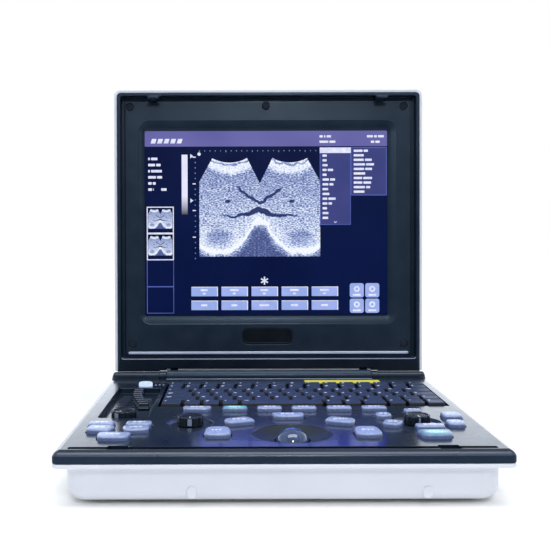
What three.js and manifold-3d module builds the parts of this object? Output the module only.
// A portable ultrasound scanner, built like a thick notebook computer: a base with a control panel, and
// a lid that carries the screen. Millimetres, +X to the user's right, +Y to the rear, +Z up.
// The base is drawn about its own middle with the feet at Z = 0. The lid is drawn upright about its
// hinge axis, then leaned back. The last lines move everything so that the middle of the footprint is
// the origin.
import * as THREE from "three";
import { ConvexGeometry } from "three/addons/geometries/ConvexGeometry.js";
import { mergeVertices } from "three/addons/utils/BufferGeometryUtils.js";
import Module from "manifold-3d";

const wasm = await Module();
wasm.setup();

// ---------------------------------------------------------------- driving dimensions
const WIDTH = 315; // base, left to right
const DEPTH = 312; // base, front to rear
const PANEL_Z = 41; // the control panel's surface above the table
const PANEL_THICK = 3;
const LIP_Z = 32; // the dark cover's lower edge
const FLANGE_Z = 28; // the white case's flange, below the cover
const CASE_Z = 3; // the case's underside, held up by the feet
const CASE_INSET = 7; // how far the tub stands back from the flange
const WALL = 2.5;
const CORNER = 4.5; // plan corner radius of the base
const GAP = 0.3; // between pieces that touch
const SIDE_GAP = 0.5; // between a moving piece and its hole

const HINGE_Y = 131;
const HINGE_Z = 42.5;
const LEAN = THREE.MathUtils.degToRad(2.5); // the lid's lean at rest
const RIM_Y = -1.2; // the lid's front plane, measured from the hinge axis
const LID_HALF = 154.5; // white shell, half its width
const LID_TOP = 287; // from the hinge axis to the shell's top edge
const LID_BACK = 22.5; // the shell's back, behind the hinge axis
const BEZEL_HALF = 151.5; // dark frame, half its width
const BEZEL_TOP = 284;
const BEZEL_BOTTOM = 4.5;
const BEZEL_PLATE_Y = 7.3; // the sunken face round the screen
const BEZEL_PLATE_BACK = 9.8;
const RIM_WIDE = 3.5;
const BAND_TOP = 17.5; // upper edge of the band above the hinge
const SCREEN = { x0: -125, x1: 121, z0: 59.5, z1: 247 }; // opening in the bezel
const SURROUND = { x0: -130.5, x1: 130, z0: 51.5, z1: 257 }; // edge of its sloping margin

const BARREL_R = 7.2; // the round cover over the hinges
const BARREL_HALF = 102;
const TROUGH_R = 8.4;
const TROUGH_HALF = 109;
const SHOULDER_R = 4;
const POST_X = 104; // inner face of each hinge post
const POST_THICK = 3;
const PIN_R = 2.4;

const KEY_PITCH = 16.2; // keyboard keys, across
const ROW_PITCH = 17.3; // and front to rear
const KEYS_X0 = -97.3;
const FIRST_ROW_Y = 1; // middle of the front row
const KEY_GAP = 0.9;
const KEYCAP_TOP = PANEL_Z + 2;
const KEY_WEB_Z = 37.1; // underside of the web that joins a row
const WELL = { x0: -98.7, x1: 146.9, y0: -9.6, y1: 95.6 }; // the keyboard's opening in the panel
const FRAME_Z = 33.8;
const FRAME_THICK = 1.4;

const RECESS = { x0: -142, x1: -103, y0: -53, y1: 75 }; // the sunken slider field
const RECESS_FLOOR = 35.5;
const SLIDER_COUNT = 8;
const SLIDER_PITCH = 9;
const SLIDER_Y0 = 5;
const SLOT_X0 = -138;
const SLOT_X1 = -106.8;
const SLOT_WIDE = 2.4;

const KNOB_R = 10.2;
const SHAFT_R = 3;
const KNOBS = [
  { name: "gain_knob", x: -122.8, y: -42, foot: RECESS_FLOOR + 0.4, top: PANEL_Z + 4.2 },
  { name: "left_knob", x: -67.9, y: -71.4, foot: PANEL_Z - 1.4, top: PANEL_Z + 6 },
  { name: "right_knob", x: 107.1, y: -69.7, foot: PANEL_Z - 1.4, top: PANEL_Z + 6 },
];
const DISH = { r: 18, foot: 14, deep: 1.8 };

const BALL = { x: 8.5, y: -106, z: 32.5, r: 12.5 };
const BALL_DISH = { r: 29, foot: 14.5, deep: 5.5 };
const BALL_CLEAR = 0.7;

const RUBBER_TOP = PANEL_Z + 3.5;
const RUBBER_FOOT = 34.2;
const BOARD_Z = 30.6; // underside of the control board
const BOARD_THICK = 1.6;

const LATCH_X = [-120, 107]; // left edge of each hook
const HOOK = { wide: 9.5, nose: 2, z0: 276.4, z1: 279.4, tip: -8.5, noseBack: -5 };
const LATCH_TRAVEL = 3.2;
const LATCH_SLOT = { x: 113.5, half: 7, y: -146.4, deep: 8.4 };
const FRONT_GROOVE = { x0: -147.5, x1: 146, y: -148, wide: 3, deep: 1.2 };

// Rubber keys: middle, width at the back and at the front, depth, turn in degrees, corner radius.
const RUBBER_KEYS = [
  { name: "fan_key_1", x: -134.4, y: -82.4, back: 19.5, front: 19.5, deep: 11, turn: 0, r: 3 },
  { name: "fan_key_2", x: -133.1, y: -99.2, back: 20.5, front: 18, deep: 15, turn: -8, r: 4 },
  { name: "fan_key_3", x: -106.2, y: -82.4, back: 19.5, front: 19.5, deep: 11, turn: 0, r: 3 },
  { name: "fan_key_4", x: -106.4, y: -98.6, back: 20.5, front: 18, deep: 14, turn: 8, r: 4 },
  { name: "fan_key_5", x: -120.2, y: -120.8, back: 25, front: 21, deep: 15.5, turn: 0, r: 5 },
  { name: "row_key_1", x: -64.6, y: -27.6, back: 25, front: 20, deep: 10.5, turn: 0, r: 3.5 },
  { name: "row_key_2", x: -33.6, y: -26.8, back: 20.5, front: 20.5, deep: 9, turn: 0, r: 2.2 },
  { name: "row_key_3", x: -5.2, y: -26.8, back: 20.5, front: 20.5, deep: 9, turn: 0, r: 2.2 },
  { name: "row_key_4", x: 23.1, y: -26.8, back: 20.5, front: 20.5, deep: 9, turn: 0, r: 2.2 },
  { name: "row_key_5", x: 51.8, y: -26.8, back: 20.5, front: 20.5, deep: 9, turn: 0, r: 2.2 },
  { name: "row_key_6", x: 80.5, y: -26.8, back: 20.5, front: 20.5, deep: 9, turn: 0, r: 2.2 },
  { name: "arc_key_left", x: -30.4, y: -73.4, back: 21, front: 23, deep: 15, turn: 22, r: 5 },
  { name: "arc_key_middle", x: 8.5, y: -54.8, back: 27, front: 22, deep: 12.5, turn: 0, r: 4 },
  { name: "arc_key_right", x: 47.5, y: -73.4, back: 21, front: 23, deep: 15, turn: -22, r: 5 },
  { name: "side_key_1", x: 83.5, y: -54.4, back: 13, front: 12, deep: 13, turn: 0, r: 5.5 },
  { name: "side_key_2", x: 85.9, y: -82.5, back: 15.5, front: 13, deep: 15.5, turn: -25, r: 5 },
  { name: "side_key_3", x: 109.6, y: -38.4, back: 14, front: 14, deep: 9, turn: 0, r: 3.5 },
  { name: "side_key_4", x: 136.9, y: -55.5, back: 15, front: 15.8, deep: 16.5, turn: 0, r: 5 },
  { name: "side_key_5", x: 133.4, y: -83, back: 14.3, front: 13.5, deep: 15.5, turn: 0, r: 5.5 },
  { name: "side_key_6", x: 112, y: -92.8, back: 22, front: 21, deep: 10, turn: 0, r: 3 },
  { name: "side_key_7", x: 110.9, y: -116, back: 25.5, front: 21, deep: 17.5, turn: 0, r: 5 },
  { name: "ball_key_left", x: -46, y: -109, back: 17.5, front: 20, deep: 25, turn: 0, r: 7 },
  { name: "ball_key_right", x: 63, y: -109, back: 17.5, front: 20, deep: 25, turn: 0, r: 7 },
];
const POWER = { x: -119, y: 89, r: 6.5, top: PANEL_Z + 3 };

// Keyboard rows from front to rear: key widths in key pitches.
const singles = (n) => Array(n).fill(1);
const KEY_ROWS = [
  [1.18, 1, 1, 1, 4.44, 1, 1, 1.33, 1, 1, 1.03],
  [1.92, ...singles(12), 1.06],
  [1.65, ...singles(12), 1.33],
  [1.42, ...singles(12), 1.56],
  [0.93, ...singles(13), 1.05],
  [...singles(14), 0.98],
];
const FUNCTION_ROW = { y: 86.9, deep: 13.4 };

// ---------------------------------------------------------------- materials
const finish = (color, roughness, metalness = 0) =>
  new THREE.MeshStandardMaterial({ color, roughness, metalness });
const WHITE_SHELL = finish(0xdfe6f1, 0.45);
const DARK_SHELL = finish(0x29303c, 0.35);
const DARK_KEY = finish(0x2b3247, 0.5);
const SILICONE = finish(0xb9c6ea, 0.4);
const KNOB_BLACK = finish(0x14161a, 0.45);
const BALL_GLOSS = finish(0x1a2040, 0.08);
const GLASS = finish(0x10183a, 0.1);
const STEEL = finish(0x9aa0a6, 0.35, 1);
const BOARD = finish(0x1c5a3a, 0.6);
const BATTERY = finish(0x22242a, 0.6);
const RUBBER = finish(0x1b1c1e, 0.8);
const CONNECTOR = finish(0x33363c, 0.5);

// ---------------------------------------------------------------- solids
function solid(geometry) {
  const g = geometry.clone();
  g.deleteAttribute("normal");
  g.deleteAttribute("uv");
  const merged = mergeVertices(g, 1e-4);
  return new wasm.Manifold(
    new wasm.Mesh({
      numProp: 3,
      vertProperties: new Float32Array(merged.attributes.position.array),
      triVerts: new Uint32Array(merged.index.array),
    }),
  );
}

function geometryOf(body) {
  const mesh = body.getMesh();
  const geometry = new THREE.BufferGeometry();
  geometry.setAttribute("position", new THREE.BufferAttribute(mesh.vertProperties, 3));
  geometry.setIndex(new THREE.BufferAttribute(mesh.triVerts, 1));
  geometry.computeVertexNormals();
  return geometry;
}

const join = (...bodies) => bodies.reduce((a, b) => a.add(b));
const cut = (body, ...tools) => tools.reduce((a, b) => a.subtract(b), body);

function block(x0, x1, y0, y1, z0, z1) {
  const g = new THREE.BoxGeometry(x1 - x0, y1 - y0, z1 - z0);
  g.translate((x0 + x1) / 2, (y0 + y1) / 2, (z0 + z1) / 2);
  return solid(g);
}

// An outline pushed up from z0 to z1. The curves of the outline get the given number of steps.
function raised(shape, z0, z1, curveSegments = 3) {
  const g = new THREE.ExtrudeGeometry(shape, { depth: z1 - z0, bevelEnabled: false, curveSegments });
  g.translate(0, 0, z0);
  return solid(g);
}

// The same with its edges bevelled at both ends, inside the outline.
function bevelled(shape, z0, z1, bevel, bevelSegments = 1, curveSegments = 3) {
  const g = new THREE.ExtrudeGeometry(shape, {
    depth: z1 - z0 - 2 * bevel,
    bevelThickness: bevel,
    bevelSize: bevel,
    bevelOffset: -bevel,
    bevelSegments,
    curveSegments,
  });
  g.translate(0, 0, z0 + bevel);
  return solid(g);
}

// An outline drawn in X and Z, given thickness from y0 to y1.
function upright(shape, y0, y1, curveSegments = 3) {
  const g = new THREE.ExtrudeGeometry(shape, { depth: y1 - y0, bevelEnabled: false, curveSegments });
  g.rotateX(Math.PI / 2);
  g.translate(0, y1, 0);
  return solid(g);
}

// An outline drawn in Y and Z, pushed across from x0 to x1.
function across(shape, x0, x1, curveSegments = 8) {
  const g = new THREE.ExtrudeGeometry(shape, { depth: x1 - x0, bevelEnabled: false, curveSegments });
  const turn = new THREE.Matrix4().makeBasis(
    new THREE.Vector3(0, 1, 0),
    new THREE.Vector3(0, 0, 1),
    new THREE.Vector3(1, 0, 0),
  );
  g.applyMatrix4(turn);
  g.translate(x0, 0, 0);
  return solid(g);
}

function disc(x, y, z0, z1, r, topR = r, segments = 24) {
  const g = new THREE.CylinderGeometry(topR, r, z1 - z0, segments);
  g.rotateX(Math.PI / 2);
  g.translate(x, y, (z0 + z1) / 2);
  return solid(g);
}

// A round bar along X about the hinge line of its frame.
function bar(x0, x1, r, y = 0, z = 0, segments = 24) {
  const g = new THREE.CylinderGeometry(r, r, x1 - x0, segments);
  g.rotateZ(Math.PI / 2);
  g.translate((x0 + x1) / 2, y, z);
  return solid(g);
}

// A closed body between two rectangles, each {x0, x1, y0, y1, z}.
function tapered(low, high) {
  const corners = [low, high].flatMap((q) => [
    new THREE.Vector3(q.x0, q.y0, q.z),
    new THREE.Vector3(q.x1, q.y0, q.z),
    new THREE.Vector3(q.x1, q.y1, q.z),
    new THREE.Vector3(q.x0, q.y1, q.z),
  ]);
  return solid(new ConvexGeometry(corners));
}

// A closed outline through the corner points, each corner rounded.
function rounded(points, radius) {
  const shape = new THREE.Shape();
  points.forEach((p, i) => {
    const before = points.at(i - 1);
    const after = points[(i + 1) % points.length];
    const start = p.clone().add(before.clone().sub(p).setLength(radius));
    const end = p.clone().add(after.clone().sub(p).setLength(radius));
    if (i === 0) shape.moveTo(start.x, start.y);
    else shape.lineTo(start.x, start.y);
    shape.quadraticCurveTo(p.x, p.y, end.x, end.y);
  });
  shape.closePath();
  return shape;
}

function outline(points) {
  return new THREE.Shape(points.map(([a, b]) => new THREE.Vector2(a, b)));
}

function rectangle(x0, x1, y0, y1, radius) {
  const corners = [[x0, y0], [x1, y0], [x1, y1], [x0, y1]];
  return rounded(corners.map(([x, y]) => new THREE.Vector2(x, y)), radius);
}

// A rubber key's outline, grown by the given margin.
function keyOutline(key, grow = 0) {
  const half = key.deep / 2 + grow;
  const back = key.back / 2 + grow;
  const front = key.front / 2 + grow;
  const corners = [[-front, -half], [front, -half], [back, half], [-back, half]];
  const middle = new THREE.Vector2(key.x, key.y);
  const turn = THREE.MathUtils.degToRad(key.turn);
  const points = corners.map(([x, y]) =>
    new THREE.Vector2(x, y).rotateAround(new THREE.Vector2(), turn).add(middle),
  );
  return rounded(points, key.r + grow);
}

// ---------------------------------------------------------------- the assembly
const scanner = new THREE.Group();
const base = new THREE.Group();
const lid = new THREE.Group();
lid.position.set(0, HINGE_Y, HINGE_Z);
lid.rotation.x = -LEAN;
scanner.add(base, lid);

function place(group, name, body, material) {
  const mesh = new THREE.Mesh(geometryOf(body), material);
  mesh.name = name;
  group.add(mesh);
}

// ---------------------------------------------------------------- base: case, cover, feet
const CASE_HALF_X = WIDTH / 2 - CASE_INSET;
const CASE_HALF_Y = DEPTH / 2 - CASE_INSET - 1;
const CASE_BEVEL = 6;
const CONNECTORS = { x0: 20, x1: 140, y0: 134, z0: 6, z1: 22 };

function bottomCase() {
  const inX = CASE_HALF_X - WALL;
  const inY = CASE_HALF_Y - WALL;
  const tub = cut(
    bevelled(rectangle(-CASE_HALF_X, CASE_HALF_X, -CASE_HALF_Y, CASE_HALF_Y, 14), CASE_Z, 45, CASE_BEVEL, 2),
    block(-WIDTH, WIDTH, -DEPTH, DEPTH, FLANGE_Z, 50),
  );
  const rim = rectangle(-WIDTH / 2, WIDTH / 2, -DEPTH / 2, DEPTH / 2, CORNER);
  const flange = raised(rim, FLANGE_Z - 0.01, LIP_Z - GAP);
  const hollow = bevelled(rectangle(-inX, inX, -inY, inY, 12), CASE_Z + WALL, 60, CASE_BEVEL, 2);
  const c = CONNECTORS;
  const bay = block(c.x0 - GAP, c.x1 + GAP, 120, DEPTH, c.z0 - GAP, c.z1 + GAP);
  return cut(join(tub, flange), hollow, bay);
}
place(base, "base_bottom_case", bottomCase(), WHITE_SHELL);

function troughCutters() {
  const round = bar(-TROUGH_HALF, TROUGH_HALF, TROUGH_R, HINGE_Y, HINGE_Z);
  const posts = [-1, 1].map((side) => {
    const inner = side * (POST_X - 0.8);
    const outer = side * (POST_X + POST_THICK + 0.8);
    return block(Math.min(inner, outer), Math.max(inner, outer), HINGE_Y - 8, HINGE_Y + 6, 25, 45);
  });
  return [round, ...posts];
}

function keyHoles() {
  const holes = RUBBER_KEYS.map((key) => raised(keyOutline(key, SIDE_GAP), 20, 50));
  const power = disc(POWER.x, POWER.y, 20, 50, POWER.r + SIDE_GAP);
  return [...holes, power];
}

function knobCutters() {
  const shafts = KNOBS.map((k) => disc(k.x, k.y, 20, 50, SHAFT_R + SIDE_GAP, undefined, 16));
  const dishes = KNOBS.slice(1).map((k) =>
    disc(k.x, k.y, PANEL_Z - DISH.deep, PANEL_Z + 0.1, DISH.foot, DISH.r),
  );
  return [...shafts, ...dishes];
}

const sliderY = (i) => SLIDER_Y0 + i * SLIDER_PITCH;

// A raised ridge on the panel at each side of the hinge cover, round about the hinge axis. It falls away
// to the rear, to leave room for the lid when it leans right back.
function shoulder(side) {
  const front = [180, 157.5, 135, 112.5, 90, 52.5].map((degrees) => {
    const a = THREE.MathUtils.degToRad(degrees);
    return [HINGE_Y + SHOULDER_R * Math.cos(a), HINGE_Z + SHOULDER_R * Math.sin(a)];
  });
  const foot = PANEL_Z - 1;
  const profile = outline([[HINGE_Y - SHOULDER_R, foot], ...front, [HINGE_Y + 9.5, foot]]);
  const inner = side * (TROUGH_HALF + 0.6);
  const outer = side * (WIDTH / 2 - 0.6);
  return across(profile, Math.min(inner, outer), Math.max(inner, outer));
}

function topCover() {
  const rim = rectangle(-WIDTH / 2, WIDTH / 2, -DEPTH / 2, DEPTH / 2, CORNER);
  const inner = rectangle(-WIDTH / 2 + WALL, WIDTH / 2 - WALL, -DEPTH / 2 + WALL, DEPTH / 2 - WALL, CORNER - 2);
  const shell = cut(
    bevelled(rim, 20, PANEL_Z, 2, 2),
    block(-WIDTH, WIDTH, -DEPTH, DEPTH, 10, LIP_Z),
    raised(inner, 20, PANEL_Z - PANEL_THICK),
  );
  const under = PANEL_Z - PANEL_THICK + 0.01;
  const r = RECESS;
  const tray = block(r.x0 - 2, r.x1 + 2, r.y0 - 2, r.y1 + 2, RECESS_FLOOR - 2, under);
  const ballBoss = disc(BALL.x, BALL.y, 33, under, 31);
  const troughBody = block(-112, 112, HINGE_Y - 11, HINGE_Y + 11, 32, under);
  const slots = Array.from({ length: SLIDER_COUNT }, (_, i) =>
    block(SLOT_X0, SLOT_X1, sliderY(i) - SLOT_WIDE / 2, sliderY(i) + SLOT_WIDE / 2, 20, 45),
  );
  const s = LATCH_SLOT;
  const latchSlots = [-1, 1].map((side) =>
    block(side * s.x - s.half, side * s.x + s.half, s.y - s.deep / 2, s.y + s.deep / 2, 20, 50),
  );
  const b = BALL_DISH;
  const f = FRONT_GROOVE;
  return cut(
    join(shell, tray, ballBoss, troughBody, shoulder(-1), shoulder(1)),
    block(f.x0, f.x1, f.y - f.wide / 2, f.y + f.wide / 2, PANEL_Z - f.deep, 50),
    block(r.x0, r.x1, r.y0, r.y1, RECESS_FLOOR, 50),
    block(WELL.x0, WELL.x1, WELL.y0, WELL.y1, 20, 50),
    disc(BALL.x, BALL.y, PANEL_Z - b.deep, PANEL_Z + 0.1, b.foot, b.r, 32),
    disc(BALL.x, BALL.y, 20, 50, BALL.r + BALL_CLEAR),
    ...slots,
    ...latchSlots,
    ...knobCutters(),
    ...keyHoles(),
    ...troughCutters(),
  );
}
place(base, "base_top_cover", topCover(), DARK_SHELL);

const FOOT = { half: 120, y: 119, deep: 12, top: CASE_Z - GAP };
for (const [name, side] of [["foot_strip_front", -1], ["foot_strip_rear", 1]]) {
  const y = side * FOOT.y;
  const strip = rectangle(-FOOT.half, FOOT.half, y - FOOT.deep / 2, y + FOOT.deep / 2, 4);
  place(base, name, raised(strip, 0, FOOT.top), RUBBER);
}

// ---------------------------------------------------------------- base: inside
function hingePost(side) {
  const profile = outline([
    [HINGE_Y - 13, 6], [HINGE_Y + 2.4, 6], [HINGE_Y + 2.4, 29], [HINGE_Y + 4.4, HINGE_Z - 2],
    [HINGE_Y + 4, HINGE_Z + 2.4], [HINGE_Y + 1.6, HINGE_Z + 4.4], [HINGE_Y - 1.6, HINGE_Z + 4.4],
    [HINGE_Y - 4, HINGE_Z + 2.4], [HINGE_Y - 4.4, HINGE_Z - 2], [HINGE_Y - 6, 29], [HINGE_Y - 13, 9],
  ]);
  const inner = side * POST_X;
  const outer = side * (POST_X + POST_THICK);
  const plate = across(profile, Math.min(inner, outer), Math.max(inner, outer));
  const tip = side * 86;
  const root = side * (POST_X + 1);
  const pin = bar(Math.min(tip, root), Math.max(tip, root), PIN_R, HINGE_Y, HINGE_Z, 16);
  const flangeEnd = side * (POST_X + 16);
  const flange = block(
    Math.min(inner, flangeEnd), Math.max(inner, flangeEnd), HINGE_Y - 13, HINGE_Y + 2.4, 6, 9,
  );
  return join(plate, pin, flange);
}
place(base, "hinge_post_left", hingePost(-1), STEEL);
place(base, "hinge_post_right", hingePost(1), STEEL);

function controlBoard() {
  const top = BOARD_Z + BOARD_THICK;
  const half = CASE_HALF_X - WALL - 1;
  const front = -CASE_HALF_Y + WALL + 0.6;
  const corners = [[-half, front], [half, front], [half, -15], [-99.5, -15], [-99.5, 112], [-half, 112]];
  const field = rounded(corners.map(([x, y]) => new THREE.Vector2(x, y)), 12);
  return cut(raised(field, BOARD_Z, top), disc(BALL.x, BALL.y, 10, 40, 18));
}
place(base, "control_board", controlBoard(), BOARD);

function mainBoard() {
  const plate = block(-138, 138, -60, 48, 9, 10.6);
  const shields = block(-120, -20, -45, 30, 10.5, 17);
  const processor = block(10, 60, -40, 10, 10.5, 16);
  const power = block(80, 130, -50, 40, 10.5, 20);
  return join(plate, shields, processor, power);
}
place(base, "main_board", mainBoard(), BOARD);
place(base, "battery_pack", bevelled(rectangle(-138, 10, 55, 116, 5), 6.2, 21, 1.5), BATTERY);

// Sockets in the rear of the base. Each is a blind hollow that opens to the rear.
const SOCKETS = [
  { x0: 30, x1: 86, z0: 8.5, z1: 19.5, deep: 9 }, // probe
  { x0: 96, x1: 104, z0: 10, z1: 18, deep: 9 }, // supply inlet
  { x0: 112, x1: 126, z0: 11, z1: 17, deep: 9 }, // data
];
function connectorPanel() {
  const c = CONNECTORS;
  const body = block(c.x0, c.x1, c.y0, CASE_HALF_Y, c.z0, c.z1);
  const hollows = SOCKETS.map((s) =>
    block(s.x0, s.x1, CASE_HALF_Y - s.deep, CASE_HALF_Y + 1, s.z0, s.z1),
  );
  const probe = SOCKETS[0];
  const tongue = block(
    probe.x0 + 5, probe.x1 - 5, CASE_HALF_Y - probe.deep - 1, CASE_HALF_Y - 4, 9.3, 11.3,
  );
  return join(cut(body, ...hollows), tongue);
}
place(base, "connector_panel", connectorPanel(), CONNECTOR);

function trackballCup() {
  const cavity = BALL.r + BALL_CLEAR;
  const profile = [
    [0, 16.5], [16.5, 16.5], [16.5, 32.5], [cavity, 32.5], [cavity, 27], [8, 19], [0, 19],
  ].map(([r, z]) => new THREE.Vector2(r, z));
  const g = new THREE.LatheGeometry(profile, 24);
  g.rotateX(Math.PI / 2);
  g.translate(BALL.x, BALL.y, 0);
  return solid(g);
}
place(base, "trackball_cup", trackballCup(), CONNECTOR);

const ball = new THREE.SphereGeometry(BALL.r, 24, 16);
ball.rotateZ(Math.PI / 2);
ball.translate(BALL.x, BALL.y, BALL.z);
place(base, "trackball", solid(ball), BALL_GLOSS);

// ---------------------------------------------------------------- keyboard
function keyboardFrame() {
  const w = WELL;
  return block(w.x0 - 2, w.x1 + 2, w.y0 - 2, w.y1 + 2, FRAME_Z, FRAME_Z + FRAME_THICK);
}
place(base, "keyboard_frame", keyboardFrame(), DARK_SHELL);

const CAP_SLOPE = 1.2; // how far a keycap's sides lean in
const CAP_REAR_SLOPE = 0.6;
function keyRow(widths, y, deep) {
  const capZ = KEY_WEB_Z + 1.2;
  const last = KEYS_X0 + widths.reduce((a, b) => a + b) * KEY_PITCH;
  const y0 = y - deep / 2;
  const y1 = y + deep / 2;
  const web = block(KEYS_X0 + 2, last - 2, y0 + 1, y1 - 1, KEY_WEB_Z, capZ + 0.01);
  let x = KEYS_X0;
  const caps = widths.map((w) => {
    const x0 = x + KEY_GAP / 2;
    const x1 = x + w * KEY_PITCH - KEY_GAP / 2;
    x += w * KEY_PITCH;
    return tapered(
      { x0, x1, y0, y1, z: capZ },
      { x0: x0 + CAP_SLOPE, x1: x1 - CAP_SLOPE, y0: y0 + CAP_SLOPE, y1: y1 - CAP_REAR_SLOPE, z: KEYCAP_TOP },
    );
  });
  return join(web, ...caps);
}
KEY_ROWS.forEach((widths, i) => {
  const functionRow = i === KEY_ROWS.length - 1;
  const y = functionRow ? FUNCTION_ROW.y : FIRST_ROW_Y + i * ROW_PITCH;
  const deep = functionRow ? FUNCTION_ROW.deep : ROW_PITCH - KEY_GAP - 0.4;
  place(base, `keyboard_row_${i + 1}`, keyRow(widths, y, deep), DARK_KEY);
});

// ---------------------------------------------------------------- buttons, knobs and sliders
for (const key of RUBBER_KEYS)
  place(base, key.name, bevelled(keyOutline(key), RUBBER_FOOT, RUBBER_TOP, 0.9), SILICONE);
place(base, "power_button", disc(POWER.x, POWER.y, RUBBER_FOOT, POWER.top, POWER.r), SILICONE);

const FLUTES = 12;
const FLUTE_DEEP = 0.9;
function knob({ x, y, foot, top }) {
  const points = Array.from({ length: FLUTES * 2 }, (_, i) => {
    const a = (i * Math.PI) / FLUTES;
    const r = KNOB_R - (i % 2) * FLUTE_DEEP;
    return new THREE.Vector2(x + r * Math.cos(a), y + r * Math.sin(a));
  });
  const grip = raised(new THREE.Shape(points), foot, top);
  const shaft = disc(x, y, RUBBER_FOOT - 1.6, foot + 1, SHAFT_R, SHAFT_R, 16);
  return join(grip, shaft);
}
for (const k of KNOBS) place(base, k.name, knob(k), KNOB_BLACK);

// The sliders rest on a gentle curve, further left towards the rear.
const sliderX = (i) => -112 - 11 * Math.sin((i / (SLIDER_COUNT - 1)) * (Math.PI / 2));
function slider(i) {
  const x = sliderX(i);
  const y = sliderY(i);
  const stem = block(x - 1.5, x + 1.5, y - 0.8, y + 0.8, RECESS_FLOOR - 2.6, RECESS_FLOOR + 1);
  const cap = tapered(
    { x0: x - 5, x1: x + 5, y0: y - 3, y1: y + 3, z: RECESS_FLOOR + 0.4 },
    { x0: x - 4.2, x1: x + 4.2, y0: y - 1.4, y1: y + 1.4, z: PANEL_Z + 0.4 },
  );
  return join(stem, cap);
}
for (let i = 0; i < SLIDER_COUNT; i++)
  place(base, `gain_slider_${i + 1}`, slider(i), KNOB_BLACK);

// ---------------------------------------------------------------- lid
// Room in the lid's lower edge for the hinge cover, and for the post heads beside it.
const POST_HEAD_R = 5.2;
const hingeSpace = () =>
  join(bar(-BARREL_HALF - 0.4, BARREL_HALF + 0.4, BARREL_R + 0.4), bar(-TROUGH_HALF, TROUGH_HALF, POST_HEAD_R));

function lidBackCover() {
  const half = LID_HALF;
  const side = outline([
    [2, LID_TOP], [2, 5], [6.3, 5], [LID_BACK, 19], [LID_BACK, LID_TOP - 5], [LID_BACK - 4, LID_TOP],
  ]);
  const face = rectangle(-half, half, -20, LID_TOP, 6);
  const body = across(side, -half, half).intersect(upright(face, 0, 30));
  const inner = outline([
    [-3, BEZEL_TOP + GAP], [-3, 0], [6.3, 0], [6.3, 8.5], [LID_BACK - WALL, 20.6],
    [LID_BACK - WALL, BEZEL_TOP + GAP],
  ]);
  const thumb = block(-8.6, 8.6 + LATCH_TRAVEL, 9.8, 13.4, BEZEL_TOP - 2, LID_TOP + 1);
  return cut(body, across(inner, -BEZEL_HALF - GAP, BEZEL_HALF + GAP), thumb);
}
place(lid, "lid_back_cover", lidBackCover(), WHITE_SHELL);

function lidBezel() {
  const half = BEZEL_HALF;
  const face = rectangle(-half, half, BEZEL_BOTTOM - 10, BEZEL_TOP, 4);
  const below = block(-half - 1, half + 1, -20, 20, -20, BEZEL_BOTTOM);
  const body = cut(upright(face, RIM_Y, BEZEL_PLATE_BACK), below);
  const wallX = half - RIM_WIDE;
  const sunken = block(-wallX, wallX, -10, BEZEL_PLATE_Y, BAND_TOP, BEZEL_TOP - RIM_WIDE);
  const bandHollow = block(-wallX, wallX, 1, 20, BEZEL_BOTTOM + 2.5, BAND_TOP - 2.5);
  const bandBack = block(-half - 1, half + 1, 6, 20, -5, BAND_TOP - 2.5);
  const bandMiddle = block(-BARREL_HALF - 0.4, BARREL_HALF + 0.4, 1, 20, -5, BAND_TOP - 2.5);
  const g = SURROUND;
  const s = SCREEN;
  const margin = tapered(
    { x0: g.x0, x1: g.x1, y0: g.z0, y1: g.z1, z: -BEZEL_PLATE_Y + 0.01 },
    { x0: s.x0, x1: s.x1, y0: s.z0, y1: s.z1, z: -BEZEL_PLATE_Y - 2 },
  ).rotate([90, 0, 0]);
  const opening = block(s.x0, s.x1, 0, 30, s.z0, s.z1);
  const hookSlots = LATCH_X.map((x) =>
    block(x - 0.7, x + HOOK.wide + HOOK.nose + LATCH_TRAVEL + 0.7, 0, 20, HOOK.z0 - 0.5, HOOK.z1 + 0.5),
  );
  return cut(body, sunken, bandHollow, bandBack, bandMiddle, margin, opening, ...hookSlots, hingeSpace());
}
place(lid, "lid_bezel", lidBezel(), DARK_SHELL);
place(lid, "lcd_panel", block(-132, 128, 10.1, 16.1, 51, 255), GLASS);

function latchBar() {
  const z0 = HOOK.z0 - 2;
  const z1 = HOOK.z1 + 3;
  const rail = block(LATCH_X[0], LATCH_X[1] + HOOK.wide, 10.2, 13, z0, z1);
  const thumb = block(-8, 8, 10.2, 13, z1 - 1, LID_TOP - 0.2);
  const hooks = LATCH_X.map((x) =>
    join(
      block(x, x + HOOK.wide, HOOK.tip, 11, HOOK.z0, HOOK.z1),
      block(x + 1, x + HOOK.wide + HOOK.nose, HOOK.tip, HOOK.noseBack, HOOK.z0, HOOK.z1),
    ),
  );
  return join(rail, thumb, ...hooks);
}
place(lid, "latch_bar", latchBar(), STEEL);

function hingeCover() {
  const tube = cut(bar(-BARREL_HALF, BARREL_HALF, BARREL_R), bar(-BARREL_HALF - 1, BARREL_HALF + 1, BARREL_R - 1.8));
  return cut(tube, block(-BARREL_HALF - 1, BARREL_HALF + 1, -3.6, 3.6, 0, 20));
}
place(lid, "hinge_cover", hingeCover(), DARK_SHELL);

function hingeBracket() {
  const plate = block(-99, 99, 1.6, 3.2, 9.5, 14.5);
  const arms = [-99, 91].map((x) => {
    const neck = block(x, x + 8, 1.6, 3.2, 2, 10);
    return join(neck, bar(x, x + 8, 4.6, 0, 0, 16));
  });
  return cut(join(plate, ...arms), bar(-120, 120, PIN_R + 0.4, 0, 0, 16));
}
place(lid, "hinge_bracket", hingeBracket(), STEEL);

// ---------------------------------------------------------------- footprint middle to the origin
scanner.updateMatrixWorld(true);
const box = new THREE.Box3().setFromObject(scanner, true);
scanner.position.set(0, -(box.min.y + box.max.y) / 2, 0);

export default scanner;
